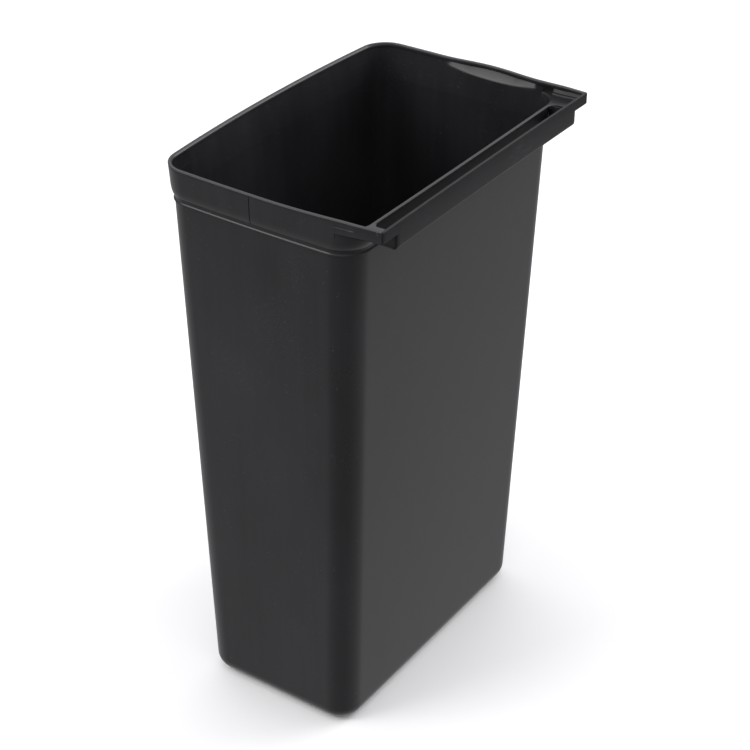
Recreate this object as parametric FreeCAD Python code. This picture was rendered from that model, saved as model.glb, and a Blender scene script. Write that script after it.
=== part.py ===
import FreeCAD, Part
import os

# Refuse bin with a hook rail along one long side, which hangs it on a cart or a cabinet frame.
# Millimetres. +Z up, origin at the middle of the flat underside, +X towards the hook rail,
# +Y towards the short side with the finger grip.

# Driving dimensions
rim_z = 559.0            # top of the rim
tub_top_z = 524.5        # top of the plain tapered wall, under the collar
wall = 2.8               # moulded wall thickness
floor_split_z = 18.0     # the rounded bottom edge ends here and the plain wall begins
base_half_width = 83.9
base_half_length = 153.2
base_fillet = 16.0       # rounded edge all round the underside
tub_half_width_left = 98.7
tub_half_width_hook = 99.7
tub_half_length = 166.2
collar_half_width_left = 103.8
collar_half_width_hook = 103.5
collar_half_length = 170.2
left_draft = 2.0         # the collar narrows this much from the rim to its lower edge, away from the hook
end_draft = 0.8          # and this much at the short sides
corner_radius = 24.0
long_bow = 5.5           # the plain long side bows out by this much at the rim
end_bow = 1.3            # the short sides bow out by this much at the rim

bead_height = 4.0        # small bead under the collar
bead_proud = 1.6
neck_height = 2.5        # narrow groove between the bead and the collar
neck_proud = 0.4
band_top_z = 544.5       # the even part of the collar ends here
hook_wall_z = 551.2      # top edge of the wall behind the hook, below the rim
hook_lean = 2.1          # the collar leans out this far behind the hook, up to that edge
lip_height = 3.5         # thicker edge round the top
lip_thickness = 4.0

arm_start_x = 84.0       # the rim runs straight on from here as an arm
rail_x = 130.3           # outer face of the hook rail
rail_z = 561.8           # top of the hook rail, a little above the rim
rail_half_length = 167.6
arm_bottom_z = 548.8
strip_bottom_z = 551.3
face_half_length = 146.0
face_bottom_z = 536.4
channel_floor_height = 2.6   # closes the channel between the rail and the wall from below
arm_proud = 0.6          # the arm stands this far out from the collar
web_height = 2.4
end_rib_thickness = 2.5  # ribs at the two ends of the channel behind the rail
arm_ledge_width = 1.2

grip_left_x = -25.0      # finger grip in the short side
grip_right_x = 77.0
grip_bulge = 5.5
grip_bottom_z = 547.0
ridge_x = -2.0           # mould parting line on the near face of the collar
ridge_width = 0.5
ridge_proud = 0.15


def vector(x, y, z):
    return FreeCAD.Vector(x, y, z)


def section(z, left, hook, half_length, radius, bow_left=0.0, bow_end=0.0):
    """Closed outline of one level: rounded corners, with the sides bowed out a little."""
    y_in = half_length - radius
    x_left = -(left - radius)
    x_hook = hook - radius
    turn = radius * 0.5 ** 0.5

    def side(first, middle, last):
        straight = (last - first).cross(middle - first).Length < 1e-6
        return Part.makeLine(first, last) if straight else Part.Arc(first, middle, last).toShape()

    def corner(cx, cy, first, last):
        sx = 1 if cx > 0 else -1
        sy = 1 if cy > 0 else -1
        return Part.Arc(first, vector(cx + sx * turn, cy + sy * turn, z), last).toShape()

    points = [
        vector(hook, -y_in, z), vector(hook, y_in, z),
        vector(x_hook, half_length, z), vector(x_left, half_length, z),
        vector(-left, y_in, z), vector(-left, -y_in, z),
        vector(x_left, -half_length, z), vector(x_hook, -half_length, z)]
    middle_x = (x_hook + x_left) / 2
    edges = [
        side(points[0], vector(hook, 0, z), points[1]),
        corner(x_hook, y_in, points[1], points[2]),
        side(points[2], vector(middle_x, half_length + bow_end, z), points[3]),
        corner(x_left, y_in, points[3], points[4]),
        side(points[4], vector(-left - bow_left, 0, z), points[5]),
        corner(x_left, -y_in, points[5], points[6]),
        side(points[6], vector(middle_x, -half_length - bow_end, z), points[7]),
        corner(x_hook, -y_in, points[7], points[0])]
    return Part.Wire(edges)


def loft(*sections):
    return Part.makeLoft(list(sections), True, True)


def base_section(z, inset=0.0):
    return section(z, base_half_width - inset, base_half_width - inset,
                   base_half_length - inset, corner_radius - inset, 0.01, 0.01)


def tub_section(z, inset=0.0):
    return section(z, tub_half_width_left - inset, tub_half_width_hook - inset,
                   tub_half_length - inset, corner_radius - inset, long_bow, end_bow)


def collar_section(z, inset=0.0):
    collar_bottom_z = tub_top_z + bead_height + neck_height
    lean = hook_lean * (z - collar_bottom_z) / (hook_wall_z - collar_bottom_z)
    draft = (rim_z - z) / (rim_z - collar_bottom_z)
    return section(z, collar_half_width_left - left_draft * draft - inset,
                   collar_half_width_hook + lean - inset,
                   collar_half_length - end_draft * draft - inset,
                   corner_radius - inset, long_bow, end_bow)


def filled_collar():
    return loft(collar_section(band_top_z - 9), collar_section(rim_z))


def slab(x0, x1, y0, y1, z0, z1):
    return Part.makeBox(x1 - x0, y1 - y0, z1 - z0, vector(x0, y0, z0))


def level(z0, z1):
    return slab(-300, 300, -300, 300, z0, z1)


def export(name, shape):
    shape = shape.removeSplitter()
    solids = shape.Solids
    good = shape.isValid() and len(solids) > 0
    print(name, "solids", len(solids), "volume", round(shape.Volume, 1), "valid", good)
    shape = solids[0] if len(solids) == 1 else Part.makeCompound(solids)
    shape.exportStep(f"parts/{name}.step")


# Hollow inside the bin
def make_hollow():
    plain = loft(base_section(wall, wall), tub_section(tub_top_z, wall))
    bottom = [edge for edge in plain.Edges if edge.BoundBox.ZMax < wall + 0.01]
    plain = plain.makeFillet(base_fillet - wall, bottom)
    lip_z = rim_z - lip_height
    flare = loft(tub_section(tub_top_z, wall), collar_section(lip_z, wall))
    mouth = loft(collar_section(lip_z, lip_thickness), collar_section(rim_z + 1, lip_thickness))
    return plain, flare, mouth


# Plain tapered tub: flat floor, rounded bottom edge and walls
def make_tub(hollow):
    outside = loft(base_section(0), tub_section(tub_top_z))
    bottom = [edge for edge in outside.Edges if edge.BoundBox.ZMax < 0.01]
    outside = outside.makeFillet(base_fillet, bottom)
    shell = outside.cut(hollow)
    flat = loft(base_section(0, base_fillet), base_section(wall, base_fillet))
    export("floor_plate", flat)
    export("base_edge", shell.common(level(0, floor_split_z)).cut(flat))
    export("tub_wall", shell.common(level(floor_split_z, tub_top_z)))


# Bead, groove and collar round the top of the tub
def make_collar(flare):
    z0 = tub_top_z
    z1 = z0 + bead_height
    z2 = z1 + neck_height
    export("collar_bead", loft(tub_section(z0, -bead_proud), tub_section(z1, -bead_proud)).cut(flare))
    export("collar_neck", loft(tub_section(z1, -neck_proud), tub_section(z2, -neck_proud)).cut(flare))
    export("collar_band", loft(collar_section(z2), collar_section(band_top_z)).cut(flare))
    make_ridge(z2, -collar_half_length + end_draft - end_bow, -collar_half_length - end_bow)


def make_ridge(low_z, low_y, high_y):
    left = ridge_x - ridge_width / 2
    right = ridge_x + ridge_width / 2
    levels = []
    for y, z in ((low_y, low_z), (high_y, rim_z)):
        corners = [vector(left, y, z), vector(right, y, z),
                   vector(right, y - ridge_proud, z), vector(left, y - ridge_proud, z)]
        levels.append(Part.makePolygon(corners + corners[:1]))
    export("parting_ridge", loft(*levels).common(level(low_z, rim_z - ridge_width)))


# Lens-shaped plan of the finger grip: a chord along the short side and an outward arc
def lens(y, bulge, z0, z1, low_bulge=None):
    def outline(z, sagitta):
        left = vector(grip_left_x, y, z)
        right = vector(grip_right_x, y, z)
        middle = vector((grip_left_x + grip_right_x) / 2, y + sagitta, z)
        return Part.Wire([Part.Arc(left, middle, right).toShape(), Part.makeLine(right, left)])
    return loft(outline(z0, low_bulge or bulge), outline(z1, bulge))


# Upper edge on the three free sides, with the finger grip in the far short side
def make_rim(flare, mouth):
    lip_z = rim_z - lip_height
    free_sides = slab(-300, arm_start_x, -300, 300, band_top_z, rim_z)
    outer_y = collar_half_length + end_bow / 2
    blend_z = (grip_bottom_z + lip_z) / 2
    outer_lens = lens(outer_y, grip_bulge, blend_z, rim_z)
    outer_lens = outer_lens.fuse(lens(outer_y, grip_bulge, grip_bottom_z, blend_z, 1.0))
    outer_lens = outer_lens.fuse(slab(grip_left_x, grip_right_x, outer_y - wall, outer_y,
                                      grip_bottom_z, rim_z))
    band = loft(collar_section(band_top_z), collar_section(lip_z)).cut(flare).common(free_sides)
    scoop = lens(outer_y - wall, grip_bulge, grip_bottom_z, lip_z, 0.5)
    scoop = scoop.fuse(slab(grip_left_x, grip_right_x, outer_y - wall - 9, outer_y - wall,
                            band_top_z, lip_z))
    grip_zone = slab(grip_left_x, grip_right_x, 150, 190, band_top_z, lip_z)
    grip = band.fuse(outer_lens).common(grip_zone).cut(scoop.common(level(grip_bottom_z, lip_z)))
    export("rim_band", band.cut(grip_zone))
    export("finger_grip", grip)
    lip = loft(collar_section(lip_z), collar_section(rim_z)).cut(mouth).common(free_sides)
    lip = lip.fuse(outer_lens.common(level(lip_z, rim_z)))
    lip = lip.cut(lens(outer_y - lip_thickness, grip_bulge, lip_z, rim_z))
    export("rim_lip", lip)


# Lower wall behind the hook. The arms pass outside it at its two ends
def make_hook_wall(flare, arms):
    edge = loft(collar_section(band_top_z), collar_section(hook_wall_z)).cut(flare)
    edge = edge.common(slab(arm_start_x, 300, -300, 300, band_top_z, hook_wall_z))
    for arm in arms:
        edge = edge.cut(arm)
    export("hook_wall", edge)
    return edge


# Shapes at the two ends of the hook follow these cross-sections. side is -1 near, +1 far
def end_stations():
    outer_start = collar_half_length + end_bow / 2 + arm_proud
    return (
        # x, outer face, underside, top, thickness
        (arm_start_x, outer_start, arm_bottom_z, rim_z, wall + arm_proud),
        (collar_half_width_hook, (outer_start + rail_half_length) / 2, arm_bottom_z,
         (rim_z + rail_z) / 2, wall + arm_proud / 2),
        (rail_x - wall, rail_half_length, strip_bottom_z, rail_z, wall))


def plate(side, x, y_out, y_in, z0, z1):
    corners = [vector(x, side * y_out, z0), vector(x, side * y_out, z1),
               vector(x, side * y_in, z1), vector(x, side * y_in, z0)]
    return Part.makePolygon(corners + corners[:1])


def make_arm(name, side):
    arm = loft(*[plate(side, x, y, y - thick, low, top) for x, y, low, top, thick in end_stations()])
    export(f"hook_arm_{name}", arm)
    return arm


# Web in the corner between the arm, the rail and the wall, level with the wall's top edge
def make_web(name, side, flare, hook_wall):
    outside = loft(*[plate(side, x, y + 9, y - thick, low - 9, top + 9)
                     for x, y, low, top, thick in end_stations()])
    web = loft(*[plate(side, x, y + 1, face_half_length, low, low + web_height)
                 for x, y, low, top, thick in end_stations()])
    web = web.cut(outside).cut(flare).cut(hook_wall)
    export(f"corner_web_{name}", max(web.Solids, key=lambda solid: solid.Volume))


# Rib at one end of the channel behind the rail, up to the web's top
def make_end_rib(name, side):
    floor_top_z = face_bottom_z + channel_floor_height
    inside_y = face_half_length - end_rib_thickness
    rib = loft(*[plate(side, x, face_half_length, inside_y, floor_top_z, low + web_height)
                 for x, y, low, top, thick in end_stations()])
    export(f"end_rib_{name}", rib.cut(filled_collar()))


# Two small steps along the arm's inner face, above the web
def make_ledges(name, side):
    steps = []
    for height, width in ((1.6, 2 * arm_ledge_width), (4.0, arm_ledge_width)):
        steps.append(loft(*[plate(side, x, y - thick, y - thick - width, low + web_height,
                                  low + web_height + height)
                            for x, y, low, top, thick in end_stations()[1:]]))
    export(f"arm_ledge_{name}", steps[0].fuse(steps[1]))


# Hook rail: strip between the arms, deeper face along the middle, and the channel's floor behind it
def make_rail():
    inner_x = rail_x - wall
    export("hook_strip", slab(inner_x, rail_x, -rail_half_length, rail_half_length, strip_bottom_z, rail_z))
    export("hook_face", slab(inner_x, rail_x, -face_half_length, face_half_length, face_bottom_z,
                             strip_bottom_z))
    channel_floor = slab(arm_start_x, inner_x, -face_half_length, face_half_length,
                         face_bottom_z, face_bottom_z + channel_floor_height)
    export("channel_floor", channel_floor.cut(filled_collar()))


os.makedirs("parts", exist_ok=True)
plain_hollow, flare_hollow, mouth_hollow = make_hollow()
make_tub(plain_hollow)
make_collar(flare_hollow)
make_rim(flare_hollow, mouth_hollow)
ends = (("near", -1), ("far", 1))
end_arms = [make_arm(end_name, end_side) for end_name, end_side in ends]
wall_behind_hook = make_hook_wall(flare_hollow, end_arms)
for end_name, end_side in ends:
    make_web(end_name, end_side, flare_hollow, wall_behind_hook)
    make_end_rib(end_name, end_side)
    make_ledges(end_name, end_side)
make_rail()
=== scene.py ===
import math

import bmesh
import bpy
import numpy as np
from mathutils import Matrix, Vector


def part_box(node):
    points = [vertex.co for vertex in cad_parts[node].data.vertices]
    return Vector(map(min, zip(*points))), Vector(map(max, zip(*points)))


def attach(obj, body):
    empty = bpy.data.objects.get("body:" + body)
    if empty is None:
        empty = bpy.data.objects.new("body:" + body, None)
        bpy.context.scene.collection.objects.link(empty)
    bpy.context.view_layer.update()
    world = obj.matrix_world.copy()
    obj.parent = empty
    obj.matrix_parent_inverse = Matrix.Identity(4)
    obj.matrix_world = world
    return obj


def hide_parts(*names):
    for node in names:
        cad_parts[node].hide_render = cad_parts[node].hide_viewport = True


# Looks of a black moulded refuse bin with a hook rail along its +X side.
# The frame gives the main heights and reaches. Blender units are metres.

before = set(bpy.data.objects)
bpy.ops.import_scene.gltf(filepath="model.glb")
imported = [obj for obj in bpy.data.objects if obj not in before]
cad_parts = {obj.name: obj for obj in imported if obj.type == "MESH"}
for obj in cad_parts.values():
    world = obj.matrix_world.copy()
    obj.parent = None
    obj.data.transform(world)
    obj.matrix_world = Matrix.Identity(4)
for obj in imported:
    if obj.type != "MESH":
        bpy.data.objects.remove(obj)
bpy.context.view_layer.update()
mm = 0.001
scene = bpy.context.scene

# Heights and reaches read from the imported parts
plate_low, plate_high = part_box("floor_plate")
base_low, base_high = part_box("base_edge")
wall_low, wall_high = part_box("tub_wall")
bead_low, bead_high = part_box("collar_bead")
neck_low, neck_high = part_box("collar_neck")
band_low, band_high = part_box("collar_band")
side_low, side_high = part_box("rim_band")
lip_low, lip_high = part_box("rim_lip")
grip_low, grip_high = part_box("finger_grip")
edge_low, edge_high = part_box("hook_wall")
arm_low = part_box("hook_arm_near")[0]
strip_low, strip_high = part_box("hook_strip")
face_low, face_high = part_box("hook_face")
channel_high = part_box("channel_floor")[1]

# Tub and collar
thickness = plate_high.z
corner_radius = 24.4 * mm
left_ease = 4.0 * mm             # the tub's corners away from the hook are this much tighter at its top
base_fillet = plate_low.x - base_low.x
long_bow = 7.6 * mm              # the plain long side bows out at the rim
hook_bow = 0.8 * mm              # the hook side is held nearly straight
end_bow = 2.0 * mm
left_draft = 2.0 * mm            # the collar narrows by this much from the rim to its lower edge
end_draft = 0.8 * mm
bead_proud = 1.2 * mm
neck_proud = 0.1 * mm
collar_drop = 8 * mm             # the collar's lower edge curves in over this height
witness_width = 1.0 * mm
witness_proud = 0.16 * mm
witness_sink = 0.3 * mm
side_steps = 60                  # points along a straight side of the outline
corner_steps = 20                # points round one of its corners

# Rim
lip_width = 3.8 * mm
lip_drop = 3.0 * mm
rim_round = 0.9 * mm
lip_chamfer = 1.5 * mm           # inner top edge of the lip on the long side
lip_edge = 0.4 * mm              # the same edge on the short sides, and its rounding
lip_flare = 0.5 * mm             # the lip is this much wider at its lower edge
lip_foot_round = 0.3 * mm
lip_under = 0.2 * mm             # its underside slopes down to the wall by this much
rise_start = 20 * mm             # the rim climbs from here towards the hook rail

# Finger grip
grip_middle = (grip_low.x + grip_high.x) / 2
grip_half = (grip_high.x - grip_low.x) / 2
hump_half = grip_half + 6 * mm
hump = grip_high.y - side_high.y
hump_haste = 1.3                 # the hump is at its full reach before the top of the wall
scoop_tip_rise = 4.6 * mm
scoop_tip_power = 2.2
scoop_slope = 0.62
scoop_power = 1.1                # the scoop deepens a little faster towards its top
scoop_past_hump = 1.3 * mm       # most that the scoop goes out past the hump
scoop_low = grip_low.z + 3.0 * mm

# Hook
pad_proud = 0.9 * mm             # the arm's lower part stands out from the rim where it starts
pad_fade = 26 * mm
pad_slope = 0.3 * mm             # height over which its top edge steps back
pad_top = lip_low.z - pad_slope
rail_bend = 1.0 * mm             # the rail leans in a little at mid-length
tip_radius = 1.3 * mm
rail_round = 1.1 * mm
fold_radius = 4.0 * mm           # bend between the rail's face and the channel's floor
slot_end = face_high.y
slot_radius = 6 * mm
web_rise = 0.1 * mm              # the web covers the wall's top edge in the corner
web_at_rail = 2.0 * mm           # and meets the rail this far above its lower edge
web_tip = arm_low.x + 4 * mm     # the web starts here, closing the gap between wall and arm

fold_limit = 28                  # edges that fold by more degrees than this are sharp
pieces = []


def smooth(t):
    t = np.clip(t, 0, 1)
    return t * t * (3 - 2 * t)


def between(low, high, z0, z1, z):
    return low + (high - low) * (z - z0) / (z1 - z0)


def span(*marks):
    """Even steps between marks: position, count, position, count, position and so on."""
    starts = range(0, len(marks) - 2, 2)
    parts = [line(marks[i], marks[i + 2], marks[i + 1]) for i in starts]
    return np.concatenate(parts + [[marks[-1]]])


def arc(centre, radius, start, end, count):
    """Points on an arc, in degrees, without its last point."""
    angles = np.radians(np.linspace(start, end, count, endpoint=False))
    return np.stack([centre[0] + radius * np.cos(angles), centre[1] + radius * np.sin(angles)], 1)


def line(first, last, count):
    """Even steps from first to last, without last itself."""
    return np.linspace(first, last, count, endpoint=False)


def normals_of(points, closed=True):
    """Normals on the right of the way along a line, which is outward if it runs anticlockwise."""
    if closed:
        along = np.roll(points, -1, 0) - np.roll(points, 1, 0)
    else:
        along = np.gradient(points, axis=0)
    along /= np.linalg.norm(along, axis=1)[:, None]
    return np.stack([along[:, 1], -along[:, 0]], 1)


def rounded(corners, steps=5):
    """Closed outline through corners (a, b, radius). A corner with no radius stays one point."""
    pull = 0.9                   # how fully a rounding bends towards its corner
    points = []
    for i, (a, b, radius) in enumerate(corners):
        here = np.array([a, b])
        if radius <= 0:
            points.append(here)
            continue
        before = np.array(corners[i - 1][:2]) - here
        after = np.array(corners[(i + 1) % len(corners)][:2]) - here
        first = here + before / np.linalg.norm(before) * radius
        last = here + after / np.linalg.norm(after) * radius
        for t in np.linspace(0, 1, steps):
            middle = here * pull + (first + last) / 2 * (1 - pull)
            points.append(first * (1 - t) ** 2 + middle * 2 * t * (1 - t) + last * t ** 2)
    return np.array(points)


# Outline of the tub and the collar at one level
def bowed(points, left, end, share=1.0):
    """Bows the sides of a rounded rectangle outwards."""
    x, y = points.T
    reach_x = left - long_bow * share
    reach_y = end - end_bow * share
    out_x = np.where(x < 0, -long_bow, hook_bow) * share * (1 - (y / reach_y) ** 2)
    out_y = np.sign(y) * end_bow * share * (1 - (x / reach_x) ** 2)
    return np.stack([x + out_x, y + out_y], 1)


def outline(left, hook, end, share=1.0, ease=0.0):
    """Closed outline. left, hook and end are its reaches at the middle of each side."""
    radius = corner_radius
    x0 = -(left - long_bow * share)
    x1 = hook - hook_bow * share
    y1 = end - end_bow * share
    tight = radius - ease * share
    points = np.vstack([
        line((x1, -y1 + radius), (x1, y1 - radius), side_steps),
        arc((x1 - radius, y1 - radius), radius, 0, 90, corner_steps),
        line((x1 - radius, y1), (x0 + tight, y1), side_steps),
        arc((x0 + tight, y1 - tight), tight, 90, 180, corner_steps),
        line((x0, y1 - tight), (x0, -y1 + tight), side_steps),
        arc((x0 + tight, -y1 + tight), tight, 180, 270, corner_steps),
        line((x0 + tight, -y1), (x1 - radius, -y1), side_steps),
        arc((x1 - radius, -y1 + radius), radius, 270, 360, corner_steps)])
    return bowed(points, left, end, share)


def tub_outline(z, inset=0.0):
    """The plain tub tapers evenly from its top to its base."""
    top = wall_high.z
    left = -between(base_left, wall_low.x, 0, top, z)
    hook = between(base_right, wall_high.x, 0, top, z)
    end = between(base_end, wall_high.y, 0, top, z)
    points = outline(left, hook, end, share=max(z, 0) / top, ease=left_ease)
    return points - normals_of(points) * inset


def base_reach(top_reach, reach_here):
    """Reach at the underside, from the reach at the top of the base edge and of the wall."""
    return between(reach_here, top_reach, base_high.z, wall_high.z, 0)


base_left = base_reach(wall_low.x, base_low.x)
base_right = base_reach(wall_high.x, base_high.x)
base_end = base_reach(wall_high.y, base_high.y)


def hook_reach(z):
    """The collar leans out behind the hook."""
    return between(band_high.x, edge_high.x, band_high.z, edge_high.z, z)


def draft_at(z):
    """Share of the collar's draft at this height: none at the rim, all at its lower edge."""
    return (lip_high.z - z) / (lip_high.z - band_low.z)


def collar_outline(z, inset=0.0):
    left = -lip_low.x - left_draft * draft_at(z)
    points = outline(left, hook_reach(z), side_high.y - end_draft * draft_at(z))
    return points - normals_of(points) * inset


def flare_outline(z):
    """The inside leans out evenly from the tub's wall to the rim's."""
    left = flare_left(z)
    return tub_outline(wall_high.z, thickness) * left + collar_outline(z, thickness) * (1 - left)


def flare_left(z):
    """Share of the flare that is still to come at this height, from 1 at the tub's wall to 0 at the lip."""
    return np.clip((lip_low.z - z) / (lip_low.z - wall_high.z), 0, 1)


def facing(x, y):
    """Shares of the left side and of the short side in the way the rim faces here."""
    r = corner_radius
    turn = math.atan2(max(abs(y) - (side_high.y - end_bow - r), 0), max(lip_low.x + long_bow + r - x, 0))
    return math.cos(turn), math.sin(turn)


def drafted(x, y, z):
    """How far the collar's outside has drawn in here from the rim's outline."""
    to_left, to_end = facing(x, y)
    return (left_draft * to_left + end_draft * to_end) * draft_at(z)


def flared(x, y, z):
    """How far the inside lies from the rim's outline here."""
    to_left, to_end = facing(x, y)
    gap = (wall_low.x - lip_low.x) * to_left + (side_high.y - wall_high.y) * to_end
    gap -= left_ease * (to_left + to_end - 1)
    lean = drafted(x, y, z)
    return thickness + lean + (gap - lean) * flare_left(z)


def ring(points, z):
    return np.column_stack([points, np.full(len(points), z)])


# Meshes
def add_piece(name, vertices, faces, nodes):
    """A smooth shaded mesh that replaces the named nodes. Folds of more than fold_limit are sharp."""
    work = bmesh.new()
    corners = [work.verts.new(v) for v in vertices]
    for face in faces:
        work.faces.new([corners[i] for i in face])
    bmesh.ops.recalc_face_normals(work, faces=work.faces)
    mesh = bpy.data.meshes.new(name)
    work.to_mesh(mesh)
    work.free()
    mesh.shade_smooth()
    mesh.set_sharp_from_angle(angle=math.radians(fold_limit))
    piece = bpy.data.objects.new(name, mesh)
    scene.collection.objects.link(piece)
    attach(piece, "root")
    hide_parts(*nodes)
    pieces.append(piece)


def grid_faces(rows, columns, wrap_rows, wrap_columns):
    faces = []
    for i in range(rows if wrap_rows else rows - 1):
        for j in range(columns if wrap_columns else columns - 1):
            k, m = (i + 1) % rows, (j + 1) % columns
            faces.append((i * columns + j, i * columns + m, k * columns + m, k * columns + j))
    return faces


def loop_round(name, rings, nodes):
    """Closed rings that follow each other round a section."""
    rings = np.array(rings)
    rows, columns = rings.shape[:2]
    add_piece(name, rings.reshape(-1, 3), grid_faces(rows, columns, True, True), nodes)


def stack(name, rings, nodes):
    """Closed rings one above another, with a flat face at each end."""
    rings = np.array(rings)
    rows, columns = rings.shape[:2]
    faces = grid_faces(rows, columns, False, True)
    faces.append(tuple(range(columns)))
    faces.append(tuple(range((rows - 1) * columns, rows * columns)))
    add_piece(name, rings.reshape(-1, 3), faces, nodes)


def sweep(name, path, sections, nodes, end_round=0.0):
    """Sections (n, z) along a line, n outward from it. The ends are flat, with a rounded edge if asked."""
    across = normals_of(path, closed=False)
    along = np.stack([-across[:, 1], across[:, 0]], 1)
    stations = []

    def place(i, section, shift=0.0):
        plan = path[i] + along[i] * shift + section[:, :1] * across[i]
        stations.append(np.column_stack([plan, section[:, 1]]))

    for i, section in enumerate(sections):
        at_start, at_end = i == 0, i == len(sections) - 1
        if end_round and (at_start or at_end):
            sign = 1 if at_start else -1
            turn = normals_of(section)
            centre = section.mean(0)
            if ((section - centre) * turn).sum() < 0:
                turn = -turn
            steps = [(0.0, 1.0), (0.3, 0.3), (1.0, 0.0)]
            for shift, inset in steps if at_start else steps[::-1]:
                place(i, section - turn * end_round * inset, sign * shift * end_round)
        else:
            place(i, section)
    stack(name, stations, nodes)


# Tub
def make_floor_plate():
    rings = [ring(tub_outline(z, base_fillet), z) for z in (0.0, thickness)]
    stack("floor_plate_moulding", rings, ["floor_plate"])


def make_base_edge():
    steps = 14
    outer = []
    inner = []
    faces = ((base_fillet, 0.0, outer), (base_fillet - thickness, thickness, inner))
    for k in range(steps + 1):
        angle = math.pi / 2 * k / steps
        for radius, start, rings in faces:
            z = start + radius * (1 - math.cos(angle))
            rings.append(ring(tub_outline(z, base_fillet - radius * math.sin(angle)), z))
    outer.append(ring(tub_outline(base_high.z), base_high.z))
    inner.append(ring(tub_outline(base_high.z, thickness), base_high.z))
    loop_round("base_edge_moulding", outer + inner[::-1], ["base_edge"])


def make_tub_wall():
    levels = np.linspace(base_high.z, wall_high.z, 15)
    outer = [ring(tub_outline(z), z) for z in levels]
    inner = [ring(tub_outline(z, thickness), z) for z in levels[::-1]]
    loop_round("tub_wall_moulding", outer + inner, ["tub_wall"])


# Collar
def make_collar_bead():
    """The bead rises steeply from the tub and fades into the groove above it."""
    z0, z1 = bead_low.z, bead_high.z
    heights = (0.0, 0.05, 0.12, 0.22, 0.38, 0.52, 0.62, 1.0)
    shares = (0.3, 0.85, 1.0, 0.97, 0.75, 0.4, 0.15, 0.08)
    outer = []
    for height, share in zip(heights, shares):
        z = z0 + (z1 - z0) * height
        outer.append(ring(tub_outline(z, -bead_proud * share), z))
    inner = [ring(flare_outline(z), z) for z in (z1, z0)]
    loop_round("collar_bead_moulding", outer + inner, ["collar_bead"])


def make_collar_neck():
    levels = np.linspace(neck_low.z, neck_high.z, 3)
    outer = [ring(tub_outline(z, -neck_proud), z) for z in levels]
    inner = [ring(flare_outline(z), z) for z in levels[::-1]]
    loop_round("collar_neck_moulding", outer + inner, ["collar_neck"])


def collar_level(angle):
    """Height and share of the collar's full reach on its curved lower edge."""
    z = band_low.z + collar_drop * (1 - math.cos(angle))
    return z, 0.25 + 0.75 * math.sin(angle)


def make_collar_band():
    neck = tub_outline(neck_high.z, -neck_proud)
    outer = [ring(neck * 0.9 + collar_outline(band_low.z) * 0.1, band_low.z)]
    for angle in np.linspace(0, math.pi / 2, 12):
        z, share = collar_level(angle)
        outer.append(ring(neck * (1 - share) + collar_outline(z) * share, z))
    outer.append(ring(collar_outline(band_high.z), band_high.z))
    inner = [ring(flare_outline(z), z) for z in np.linspace(band_high.z, band_low.z, 7)]
    loop_round("collar_band_moulding", outer + inner, ["collar_band"])


def make_parting_ridge():
    """Thin witness line of the mould down the near face of the collar."""
    ridge_low, ridge_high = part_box("parting_ridge")
    middle = (ridge_low.x + ridge_high.x) / 2
    neck_y = wall_high.y + neck_proud
    stations = [(lip_high.z - 1.6 * mm, 1.0), (band_low.z + collar_drop, 1.0)]
    stations += [collar_level(angle) for angle in np.linspace(math.pi / 2, 0.2, 10)[1:]]
    half = witness_width / 2
    rings = []
    for z, share in stations:
        y = -(neck_y + (side_high.y - end_draft * draft_at(z) - neck_y) * share)
        plan = [(middle - half, y + witness_sink), (middle - half * 0.5, y - witness_proud),
                (middle + half * 0.6, y - witness_proud), (middle + half, y + witness_sink)]
        rings.append(ring(np.array(plan), z))
    stack("parting_line_moulding", rings, ["parting_ridge"])


# Rim
def rim_top(x):
    """The rim climbs a little towards the hook rail."""
    return lip_high.z + (strip_high.z - lip_high.z) * smooth((x - rise_start) / (strip_low.x - rise_start))


def end_side(x):
    """How far the collar reaches along Y at this X."""
    return side_high.y - end_bow + end_bow * (1 - (x / (-lip_low.x - long_bow)) ** 2)


def free_path():
    """Outer line of the rim on its three free sides, from the far arm round to the near arm."""
    x0, y1, r = lip_low.x + long_bow, side_high.y - end_bow, corner_radius
    far_x = span(arm_low.x, 5, grip_high.x, 80, grip_low.x, 30, x0 + r)
    far = np.stack([far_x, np.full(len(far_x), y1)], 1)[:-1]
    path = np.vstack([
        far,
        arc((x0 + r, y1 - r), r, 90, 180, corner_steps),
        line((x0, y1 - r), (x0, -y1 + r), 80),
        arc((x0 + r, -y1 + r), r, 180, 270, corner_steps),
        np.stack([far_x[::-1], np.full(len(far_x), -y1)], 1)])
    return bowed(path, -lip_low.x, side_high.y)


def hump_at(x, y):
    """How far the grip bulges the rim outwards."""
    u = np.clip((x - grip_middle) / hump_half, -1, 1)
    return hump * (0.5 + 0.5 * math.cos(math.pi * u)) if y > 0 else 0.0


def scoop_at(x, y):
    """Lower edge of the scoop inside the grip, and how far the wall is pushed out at its top."""
    u = np.clip((x - grip_middle) / grip_half, -1, 1)
    low = scoop_low + scoop_tip_rise * abs(u) ** scoop_tip_power
    if y < 0 or abs(u) >= 1:
        return low, 0.0
    ends = smooth((x - grip_low.x) / (6 * mm)) * smooth((grip_high.x - x) / (2 * mm))
    return low, min(scoop_slope * (lip_low.z - low), hump_at(x, y) + scoop_past_hump) * ends


def lip_inside(outer, wall, top, chamfer):
    """Corners of the lip's inner side, from its top to the wall's inner face under it."""
    inner = outer - lip_width
    return [(inner + chamfer, top, lip_edge), (inner, top - chamfer, lip_edge),
            (inner - lip_flare, top - lip_drop, lip_foot_round), (wall, top - lip_drop - lip_under, 0)]


def lip_section(x, y):
    top = rim_top(x)
    bulge = hump_at(x, y)
    push = scoop_at(x, y)[1]
    chamfer = lip_edge + (lip_chamfer - lip_edge) * facing(x, y)[0]
    outside = [(bulge - drafted(x, y, lip_low.z), lip_low.z, 0), (bulge, top, rim_round)]
    inside = lip_inside(bulge, push - thickness, top, chamfer)
    return rounded(outside + inside + [(push - flared(x, y, lip_low.z), lip_low.z, 0)])


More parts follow.
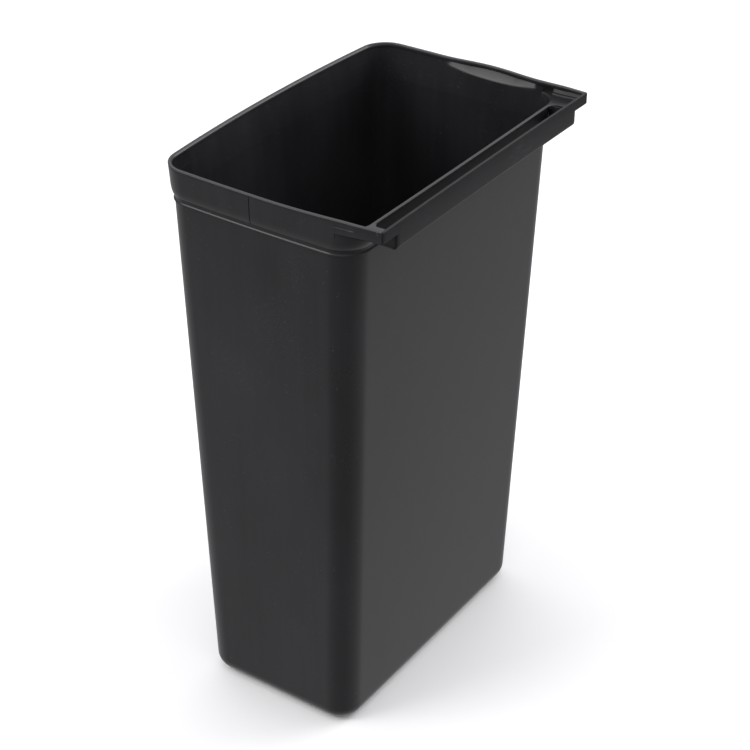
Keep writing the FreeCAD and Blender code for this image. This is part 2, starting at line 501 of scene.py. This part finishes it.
def band_section(x, y):
    """Wall under the rim, with the hump on its outside and the scoop on its inside."""
    low, push = scoop_at(x, y)
    bulge = hump_at(x, y)
    z0, z1 = side_low.z, lip_low.z
    outer = []
    for z in np.linspace(z0, z1, 10):
        hump_share = smooth((z - z0) / (z1 - z0) * hump_haste)
        outer.append((bulge * hump_share - drafted(x, y, z), z))
    scoop = [(push * t ** scoop_power, low + (z1 - low) * t) for t in np.linspace(1, 0, 8)]
    plain = [(0.0, z) for z in np.linspace(low, z0, 4)[1:]]
    inner = [(n - flared(x, y, z), z) for n, z in scoop + plain]
    return np.array(outer + inner)


def make_rim():
    path = free_path()
    sweep("rim_lip_moulding", path, [lip_section(x, y) for x, y in path], ["rim_lip"])
    on_far = path[:, 1] > 0
    grip = on_far & (path[:, 0] > grip_low.x - 1e-6) & (path[:, 0] < grip_high.x + 1e-6)
    first, last = np.flatnonzero(grip)[[0, -1]]
    runs = (("rim_band_hook_side", 0, first + 1), ("finger_grip_moulding", first, last + 1),
            ("rim_band_moulding", last, len(path)))
    for name, start, stop in runs:
        node = "finger_grip" if "grip" in name else "rim_band"
        part = path[start:stop]
        sweep(name, part, [band_section(x, y) for x, y in part], [node])


# Lower wall behind the hook
def wall_path(z, inset):
    y1, r = side_high.y - end_draft * draft_at(z) - end_bow, corner_radius
    x1 = hook_reach(z) - hook_bow
    turn = math.degrees(math.acos((arm_low.x - x1 + r) / r))
    points = np.vstack([
        arc((x1 - r, -y1 + r), r, -turn, 0, corner_steps),
        line((x1, -y1 + r), (x1, y1 - r), side_steps),
        arc((x1 - r, y1 - r), r, 0, turn, corner_steps),
        [(arm_low.x, y1 - r + r * math.sin(math.radians(turn)))]])
    points = bowed(points, -lip_low.x, side_high.y)
    return points - normals_of(points, closed=False) * inset


def make_hook_wall():
    low, high = edge_low.z, edge_high.z
    gap = band_high.x - wall_high.x
    section = rounded([
        (0, low, 0), (0, high, 1.1 * mm), (thickness + gap * flare_left(high), high, 1.0 * mm),
        (thickness + gap * flare_left(low), low, 0)])
    rings = np.array([ring(wall_path(z, inset), z) for inset, z in section])
    stack("hook_wall_moulding", rings.transpose(1, 0, 2), ["hook_wall"])


# Hook
def arm_outside(x):
    """Outer face of the arm's lower part."""
    start = end_side(arm_low.x) + pad_proud
    return between(start, strip_high.y, arm_low.x, rail_at(strip_high.y) - tip_radius, x)


def pad_at(x):
    return pad_proud * (1 - smooth((x - arm_low.x) / pad_fade))


def arm_under(x):
    return between(arm_low.z + 0.6 * mm, strip_low.z, arm_low.x, strip_low.x, min(x, strip_low.x))


def rail_at(y):
    """Outer face of the rail."""
    return strip_high.x - rail_bend * (1 - (y / strip_high.y) ** 2)


def arm_section(x):
    """Section through the arm: the pad, the rim above it and the lip inside."""
    proud = pad_at(x)
    top = rim_top(x)
    low = arm_under(x)
    inner = -proud - thickness
    outside = [(0, low, 0.4 * mm), (0, pad_top, 0.15 * mm), (-proud, pad_top + pad_slope, 0),
               (-proud, top, rim_round)]
    return rounded(outside + lip_inside(-proud, inner, top, lip_edge) + [(inner, low, 0.3 * mm)])


def make_arm(name, side):
    xs = span(arm_low.x, 24, arm_low.x + pad_fade, 12, rail_at(strip_high.y) - tip_radius)
    path = np.stack([xs, side * arm_outside(xs)], 1)
    if side > 0:
        path = path[::-1]
    sections = [arm_section(x) for x in path[:, 0]]
    sweep(f"hook_arm_{name}_moulding", path, sections, [f"hook_arm_{name}"])


def make_ledges(name, side):
    """Two sloped steps along the arm's inner face."""
    xs = np.linspace(arm_low.x + 11 * mm, strip_low.x + 1 * mm, 14)
    path = np.stack([xs, side * (arm_outside(xs) - pad_at(xs) - thickness)], 1)
    if side > 0:
        path = path[::-1]
    steps = mm * np.array([(0.5, -0.4), (-3.0, -0.4), (-3.0, 0.9), (-1.9, 2.0),
                           (-1.9, 2.7), (-1.3, 3.0), (-0.1, 5.9), (0.5, 5.9)])
    sections = [steps + (0, web_top(x)) for x in path[:, 0]]
    sweep(f"arm_ledge_{name}_moulding", path, sections, [f"arm_ledge_{name}"], end_round=0.5 * mm)


def web_top(x):
    x = np.maximum(x, edge_high.x)
    return between(edge_high.z + web_rise, strip_low.z + web_at_rail, edge_high.x, strip_low.x, x)


def make_web(name, side):
    """Web in the corner between the arm, the rail and the wall. The slot ends in it with rounded corners."""
    sink = 1.0 * mm
    r = slot_radius
    left, right = edge_high.x, strip_low.x
    corner = wall_path(edge_high.z, thickness)
    corner = corner[corner[:, 1] > slot_end - r][::2]
    corner = corner[corner[:, 0] > web_tip]
    arm_x = np.linspace(web_tip, right + sink, 14)
    arm_line = np.stack([arm_x, arm_outside(arm_x) - pad_at(arm_x) - thickness + sink], 1)
    slot = np.vstack([
        [(right + sink, slot_end - r)],
        arc((right - r, slot_end - r), r, 0, 90, 8),
        arc((left + r, slot_end - r), r, 90, 180, 8),
        [(left, slot_end - r)]])
    plan = np.vstack([slot, corner[1:], arm_line])
    plan[:, 1] *= side
    turn = normals_of(plan) * side
    rings = []
    for drop, inset in ((2.4, 0.4), (2.1, 0.0), (0.5, 0.0), (0.15, 0.12), (0.0, 0.45)):
        points = plan - turn * inset * mm
        rings.append(np.column_stack([points, web_top(points[:, 0]) - drop * mm]))
    stack(f"corner_web_{name}_moulding", rings, [f"corner_web_{name}"])


def make_end_rib(name, side):
    """Closes one end of the channel behind the rail."""
    low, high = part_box(f"end_rib_{name}")
    inner, outer = sorted((side * low.y, side * high.y))
    left, right = edge_high.x - 1.2 * mm, strip_low.x
    draft = 0.3 * mm
    rings = []
    for z, inset in ((low.z, 0.0), (edge_low.z, draft * 0.7), (edge_high.z - 0.6 * mm, draft),
                     (edge_high.z - 0.1 * mm, draft + 0.2 * mm)):
        plan = [(left, inner + inset), (right, inner + inset), (right, outer - inset), (left, outer - inset)]
        rings.append(ring(np.array([(x, side * y) for x, y in plan]), z))
    stack(f"end_rib_{name}_moulding", rings, [f"end_rib_{name}"])


def make_strip():
    """Rail between the arms, with rounded upright edges at its two tips."""
    half = strip_high.y
    ys = np.linspace(-half + tip_radius, half - tip_radius, 80)
    outer = np.stack([rail_at(ys), ys], 1)
    tip_x = rail_at(half) - tip_radius
    inner_ys = np.linspace(half, -half, 60)
    inner = np.stack([rail_at(inner_ys) - thickness, inner_ys], 1)
    plan = np.vstack([
        arc((tip_x, -half + tip_radius), tip_radius, 270, 360, 8), outer[1:],
        arc((tip_x, half - tip_radius), tip_radius, 0, 90, 8)[1:], [(tip_x, half)], inner])
    turn = normals_of(plan)
    z0, z1, r = strip_low.z, strip_high.z, rail_round
    profile = [(z0, 0.0), (z1 - r, 0.0), (z1 - 0.6 * r, 0.08 * r), (z1 - 0.29 * r, 0.29 * r),
               (z1 - 0.08 * r, 0.6 * r), (z1, r)]
    stack("hook_strip_moulding", [ring(plan - turn * inset, z) for z, inset in profile], ["hook_strip"])


def make_face_and_channel():
    """The rail's deeper middle part, folded inwards along its lower edge into the channel's floor."""
    ys = np.linspace(face_low.y, face_high.y, 60)
    path = np.stack([rail_at(ys), ys], 1)
    z0, z1 = face_low.z, face_high.z
    inner_top = channel_high.z
    fold = -fold_radius - 0.5 * mm
    tip = -(strip_high.x - band_high.x) - 1 * mm
    face = rounded([
        (0, z1, 0), (-thickness, z1, 0), (-thickness, inner_top, 1.2 * mm), (fold, inner_top, 0),
        (fold, z0, 0), (0, z0, fold_radius)], steps=8)
    floor = rounded([(fold, inner_top, 0), (tip, inner_top, 0.8 * mm), (tip, z0, 0.8 * mm), (fold, z0, 0)])
    sweep("hook_face_moulding", path, [face] * len(path), ["hook_face"], end_round=0.35 * mm)
    sweep("channel_floor_moulding", path, [floor] * len(path), ["channel_floor"], end_round=0.35 * mm)


make_floor_plate()
make_base_edge()
make_tub_wall()
make_collar_bead()
make_collar_neck()
make_collar_band()
make_parting_ridge()
make_rim()
make_hook_wall()
for end_name, end_sign in (("near", -1), ("far", 1)):
    make_arm(end_name, end_sign)
    make_ledges(end_name, end_sign)
    make_web(end_name, end_sign)
    make_end_rib(end_name, end_sign)
make_strip()
make_face_and_channel()


# Moulded plastic
def add_node(tree, kind, **inputs):
    """A shader node with its input values set. An underscore in an input's name stands for a space."""
    node = tree.nodes.new(kind)
    for key, value in inputs.items():
        node.inputs[key.replace("_", " ")].default_value = value
    return node


def add_noise(tree, stretch, scale, detail=2.0, roughness=0.5):
    """Noise in object space, stretched along the axes."""
    place = tree.nodes.new("ShaderNodeTexCoord")
    mapping = add_node(tree, "ShaderNodeMapping", Scale=stretch)
    noise = add_node(tree, "ShaderNodeTexNoise", Scale=scale, Detail=detail, Roughness=roughness)
    tree.links.new(place.outputs["Object"], mapping.inputs["Vector"])
    tree.links.new(mapping.outputs["Vector"], noise.inputs["Vector"])
    return noise.outputs[0]


def map_range(tree, value, from_low, from_high, to_low, to_high):
    node = add_node(tree, "ShaderNodeMapRange", From_Min=from_low, From_Max=from_high, To_Min=to_low,
                    To_Max=to_high)
    tree.links.new(value, node.inputs["Value"])
    return node.outputs["Result"]


def combine(tree, operation, first, second):
    node = tree.nodes.new("ShaderNodeMath")
    node.operation = operation
    tree.links.new(first, node.inputs[0])
    tree.links.new(second, node.inputs[1])
    return node.outputs["Value"]


def add_mix(tree, factor, second):
    """Mixes towards a second colour by a factor."""
    node = add_node(tree, "ShaderNodeMixRGB", Color2=second)
    tree.links.new(factor, node.inputs["Fac"])
    return node


def grey(value, blue):
    """A grey that is a little bluer than neutral."""
    return (value, value, blue, 1)


def wear(tree, scuffs):
    """Mask of pale specks, and of fine scratches in patches."""
    specks = add_noise(tree, (1, 1, 1), 420, detail=1)
    scratches = add_noise(tree, (1, 0.10, 1.6), 700, detail=3, roughness=0.65)
    zones = add_noise(tree, (1, 0.7, 1), 16, detail=2)
    speck_mask = map_range(tree, specks, 0.73, 0.77, 0, 1)
    scratch_mask = map_range(tree, scratches, 0.56, 0.68, 0, 1)
    zone_mask = map_range(tree, zones, 0.52, 0.66, 0, scuffs)
    scuff_mask = combine(tree, "MULTIPLY", scratch_mask, zone_mask)
    return combine(tree, "MAXIMUM", map_range(tree, speck_mask, 0, 1, 0, 0.5), scuff_mask)


def surface_colour(tree, tone, clouds, flow, worn):
    """Cloudy dark grey with faint upright streaks, paler where it is worn."""
    mottle = map_range(tree, clouds, 0.35, 0.65, 0.1, 0.8)
    streak = map_range(tree, flow, 0.35, 0.65, -0.08, 0.18)
    base = add_mix(tree, combine(tree, "ADD", mottle, streak), grey(tone * 1.35, tone * 1.50))
    base.inputs["Color1"].default_value = grey(tone * 0.70, tone * 0.80)
    marked = add_mix(tree, worn, grey(tone * 4.5, tone * 4.8))
    tree.links.new(base.outputs["Color"], marked.inputs["Color1"])
    return marked.outputs["Color"]


def surface_roughness(tree, roughness, clouds, flow, worn):
    slow = map_range(tree, clouds, 0.3, 0.7, roughness - 0.03, roughness + 0.03)
    fine = map_range(tree, flow, 0.3, 0.7, -0.015, 0.015)
    return combine(tree, "ADD", combine(tree, "ADD", slow, fine), map_range(tree, worn, 0, 1, 0, 0.12))


def surface_bump(tree):
    """Fine grain over slow ripples."""
    ripples = add_node(tree, "ShaderNodeBump", Strength=0.12, Distance=0.0012)
    grain = add_node(tree, "ShaderNodeBump", Strength=0.10, Distance=0.0002)
    tree.links.new(add_noise(tree, (1, 1, 0.35), 26, detail=1), ripples.inputs["Height"])
    tree.links.new(add_noise(tree, (1, 1, 1), 1400, detail=2), grain.inputs["Height"])
    tree.links.new(ripples.outputs["Normal"], grain.inputs["Normal"])
    return grain.outputs["Normal"]


def plastic(name, tone, roughness, refraction, scuffs):
    """Black plastic: fine moulded grain, slow changes in sheen, faint flow marks, specks and scuffs."""
    material = bpy.data.materials.new(name)
    material.use_nodes = True
    tree = material.node_tree
    shader = tree.nodes["Principled BSDF"]
    shader.inputs["IOR"].default_value = refraction
    clouds = add_noise(tree, (1, 1, 0.6), 9, detail=3)
    flow = add_noise(tree, (1, 1, 0.04), 110, detail=3)
    worn = wear(tree, scuffs)
    tree.links.new(surface_colour(tree, tone, clouds, flow, worn), shader.inputs["Base Color"])
    tree.links.new(surface_roughness(tree, roughness, clouds, flow, worn), shader.inputs["Roughness"])
    tree.links.new(surface_bump(tree), shader.inputs["Normal"])
    return material


moulded = plastic("black_plastic", tone=0.016, roughness=0.33, refraction=1.40, scuffs=0.35)
handled = plastic("black_plastic_handled", tone=0.014, roughness=0.40, refraction=1.24, scuffs=1.0)
# The parting line is the same plastic. This near-black, weakly reflecting copy paints the shade along its
# ridge.
painted_shade_seam = plastic("black_plastic_painted_shade_seam", tone=0.004, roughness=0.60, refraction=1.15, scuffs=0.0)


def material_for(piece):
    if piece.name.startswith(("hook_strip", "hook_face")):
        return handled
    # The parting line's ridge is real geometry, and its near-black colour is painted shade.
    if piece.name.startswith("parting_line"):
        return painted_shade_seam
    return moulded


for piece in pieces:
    piece.data.materials.append(material_for(piece))


# Camera
def place_camera():
    azimuth, elevation, roll = (math.radians(a) for a in (34.09, 32.17, 0.43))
    back = Vector((math.sin(azimuth) * math.cos(elevation), -math.cos(azimuth) * math.cos(elevation),
                   math.sin(elevation)))
    right = (-back).cross(Vector((0, 0, 1))).normalized()
    up = right.cross(-back)
    x_axis = right * math.cos(roll) + up * math.sin(roll)
    y_axis = up * math.cos(roll) - right * math.sin(roll)
    data = bpy.data.cameras.new("camera")
    data.sensor_width = 36
    data.lens = 94.69
    data.clip_end = 50
    camera = bpy.data.objects.new("camera", data)
    turn = Matrix((x_axis, y_axis, back)).transposed()
    camera.matrix_world = Matrix.Translation((0.90621, -1.32352, 1.30424)) @ turn.to_4x4()
    scene.collection.objects.link(camera)
    scene.camera = camera


# Pale floor and soft light
def make_floor():
    mesh = bpy.data.meshes.new("floor")
    half = 12.0
    corners = [(-half, -half, 0), (half, -half, 0), (half, half, 0), (-half, half, 0)]
    mesh.from_pydata(corners, [], [(0, 1, 2, 3)])
    floor = bpy.data.objects.new("floor", mesh)
    scene.collection.objects.link(floor)
    pale = bpy.data.materials.new("pale_floor")
    pale.use_nodes = True
    shader = pale.node_tree.nodes["Principled BSDF"]
    shader.inputs["Base Color"].default_value = (0.9, 0.9, 0.9, 1)
    shader.inputs["Roughness"].default_value = 0.9
    mesh.materials.append(pale)
    # The dark ground of the world lights and mirrors in the bin instead of the floor
    floor.visible_glossy = False
    floor.visible_diffuse = False


def make_world():
    """Soft sky over a greyer ground, darker round the horizon and dimmer on the camera's side."""
    world = bpy.data.worlds.new("studio")
    scene.world = world
    world.use_nodes = True
    tree = world.node_tree
    background = tree.nodes["Background"]
    direction = tree.nodes.new("ShaderNodeTexCoord").outputs["Generated"]
    upright = tree.nodes.new("ShaderNodeSeparateXYZ")
    tree.links.new(direction, upright.inputs["Vector"])
    ramp = tree.nodes.new("ShaderNodeValToRGB")
    steps = ((0.25, 0.42), (0.38, 0.20), (0.50, 0.16), (0.68, 0.75), (1.0, 1.0))
    while len(ramp.color_ramp.elements) < len(steps):
        ramp.color_ramp.elements.new(0.5)
    for element, (position, value) in zip(ramp.color_ramp.elements, steps):
        element.position = position
        element.color = (value, value, value * 1.02, 1)
    tree.links.new(map_range(tree, upright.outputs["Z"], -1, 1, 0, 1), ramp.inputs["Fac"])
    tree.links.new(ramp.outputs["Color"], background.inputs["Color"])
    to_camera = tree.nodes.new("ShaderNodeVectorMath")
    to_camera.operation = "DOT_PRODUCT"
    to_camera.inputs[1].default_value = (0.62, -0.78, 0)
    tree.links.new(direction, to_camera.inputs[0])
    strength = map_range(tree, to_camera.outputs["Value"], 0, 1, 1.5, 0.72)
    tree.links.new(strength, background.inputs["Strength"])


def add_softbox(name, direction, distance, size, power):
    light = bpy.data.lights.new(name, "AREA")
    light.shape = "RECTANGLE"
    light.size, light.size_y = size
    light.energy = power
    lamp = bpy.data.objects.new(name, light)
    way = Vector(direction).normalized()
    lamp.location = Vector((0, 0, lip_high.z)) + way * distance
    lamp.rotation_euler = way.to_track_quat("Z", "Y").to_euler()
    lamp.visible_camera = False
    scene.collection.objects.link(lamp)


def light_studio():
    make_world()
    add_softbox("front_softbox", (-0.46, -0.68, 0.54), 2.2, (1.0, 1.1), 19)
    add_softbox("back_softbox", (0.51, 0.70, 0.50), 2.2, (1.2, 0.8), 16)
    scene.view_settings.view_transform = "Standard"


place_camera()
make_floor()
light_studio()
